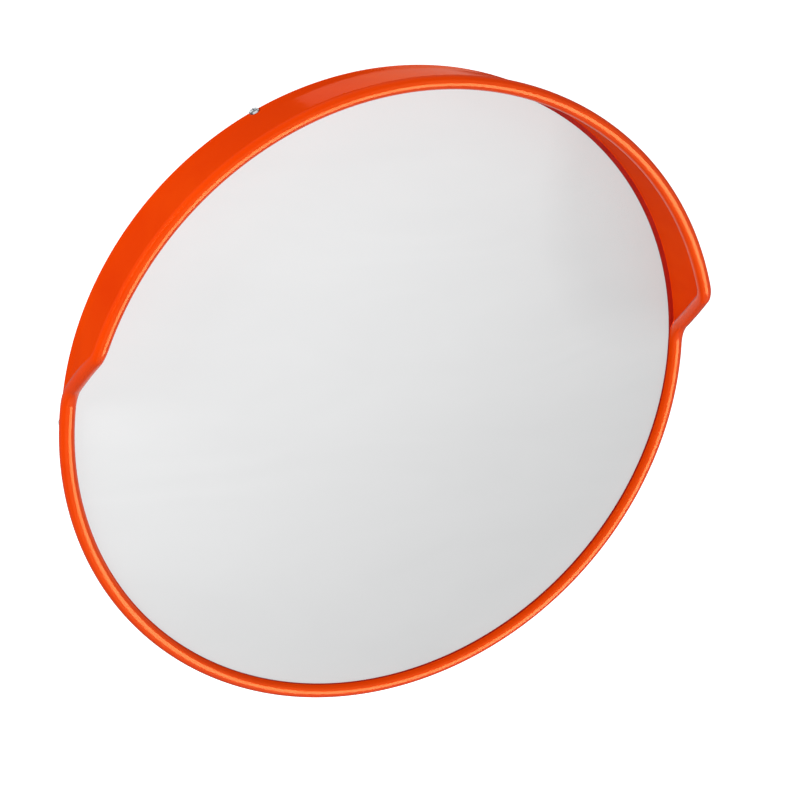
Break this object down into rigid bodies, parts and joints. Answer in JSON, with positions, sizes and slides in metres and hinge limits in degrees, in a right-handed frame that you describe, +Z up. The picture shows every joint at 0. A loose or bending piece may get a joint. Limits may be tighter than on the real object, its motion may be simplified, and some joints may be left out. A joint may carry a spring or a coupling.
{
  "type": "traffic convex mirror",
  "caption": "Round domed traffic mirror in a glossy orange frame with a rain and sun visor, on a pan and tilt bracket that bolts to a wall.",
  "frame": {"origin": "middle of the wall plate's rear face", "axes": "+Z up, the mirror faces -Y, +X to the right seen from the front"},
  "size_m": [0.45, 0.2241, 0.453],
  "materials": {
    "orange_plastic": "glossy moulded",
    "mirror_sheet": "polished",
    "zinc_steel": "zinc plated, satin",
    "bright_steel": "bright zinc",
    "spring_steel": "dark, satin",
    "cast_metal": "as cast, satin",
    "nylon": "satin",
    "rubber": "matt"
  },
  "bodies": {
    "wall_mount": {"wall_bracket": "zinc_steel", "pan_bolt": "bright_steel", "pan_washers": "bright_steel", "pan_spring_washer": "spring_steel", "pan_nut": "bright_steel"},
    "knuckle": {"swivel_knuckle": "cast_metal", "pan_bushes": "nylon", "tilt_bushes": "nylon"},
    "mirror_head": {"head_bracket": "zinc_steel", "tilt_bolt": "bright_steel", "tilt_washers": "bright_steel", "tilt_spring_washer": "spring_steel", "tilt_nut": "bright_steel", "bracket_pad": "rubber", "bracket_bolts": "bright_steel", "bracket_washers": "bright_steel", "stiffener_plate": "zinc_steel", "bracket_nuts": "bright_steel", "back_shell": "orange_plastic", "lens_gasket": "rubber", "mirror_lens": "mirror_sheet", "front_frame": "orange_plastic", "rim_screws": "bright_steel", "drain_plugs": "rubber"}
  },
  "joints": [
    {"name": "pan", "type": "hinge", "parent": "wall_mount", "child": "knuckle", "pos_m": [0, -0.075, 0], "axis": [0, 0, 1], "range_deg": [-30, 30]},
    {"name": "tilt", "type": "hinge", "parent": "knuckle", "child": "mirror_head", "pos_m": [0, -0.11, 0], "axis": [1, 0, 0], "range_deg": [-20, 30]}
  ]
}
